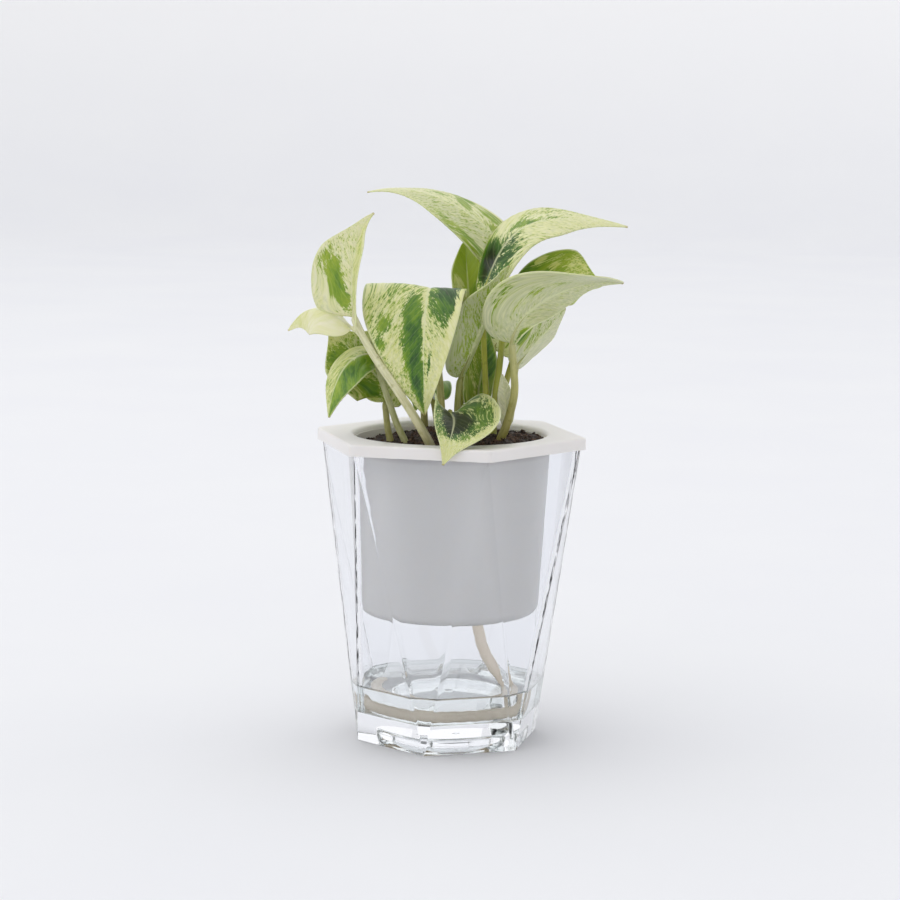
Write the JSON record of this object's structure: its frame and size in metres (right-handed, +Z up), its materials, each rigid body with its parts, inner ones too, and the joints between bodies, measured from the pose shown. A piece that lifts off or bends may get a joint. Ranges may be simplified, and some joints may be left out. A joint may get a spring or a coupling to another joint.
{
  "type": "potted variegated pothos",
  "caption": "Young marbled pothos in a six-cornered clear self-watering planter with a white lid, soil and a cotton wick in water.",
  "frame": {"origin": "on the table under the middle of the planter and plant", "axes": "+Z up, +X through a corner of the lid, so two flats of the lid face +Y and -Y"},
  "size_m": [0.1237, 0.1041, 0.2135],
  "materials": {
    "clear_plastic": "clear polystyrene, moulded smooth",
    "white_plastic": "satin white polypropylene",
    "water": "clear water",
    "soil": "dark crumbly potting soil, dull",
    "cotton": "undyed twisted cotton rope",
    "marbled_leaf": "waxy leaf, cream and green marbled",
    "green_leaf": "waxy leaf, mostly green with pale marbling",
    "stem": "smooth pale green stalk"
  },
  "bodies": {
    "root": {"tumbler": "clear_plastic", "lid_and_inner_pot": "white_plastic", "water": "water", "soil": "soil", "wick": "cotton", "leaf_left_upright": "marbled_leaf", "leaf_young": "marbled_leaf", "leaf_front": "marbled_leaf", "leaf_top_left": "marbled_leaf", "leaf_top_right": "marbled_leaf", "leaf_behind_centre": "green_leaf", "leaf_right_back": "green_leaf", "leaf_right": "marbled_leaf", "leaf_right_low": "marbled_leaf", "leaf_folded": "marbled_leaf", "leaf_cup": "marbled_leaf", "leaf_left_low": "marbled_leaf", "leaf_left_back": "marbled_leaf", "leaf_inner": "green_leaf", "leaf_small": "marbled_leaf", "leaf_back_left": "marbled_leaf", "leaf_back_right": "marbled_leaf", "leaf_back_low": "green_leaf", "stem_left_upright": "stem", "stem_front": "stem", "stem_top_left": "stem", "stem_top_right": "stem", "stem_behind_centre": "stem", "stem_right_back": "stem", "stem_right": "stem", "stem_right_low": "stem", "stem_folded": "stem", "stem_cup": "stem", "stem_left_low": "stem", "stem_left_back": "stem", "stem_inner": "stem", "stem_small": "stem", "stem_back_left": "stem", "stem_back_right": "stem", "stem_back_low": "stem"}
  },
  "joints": []
}
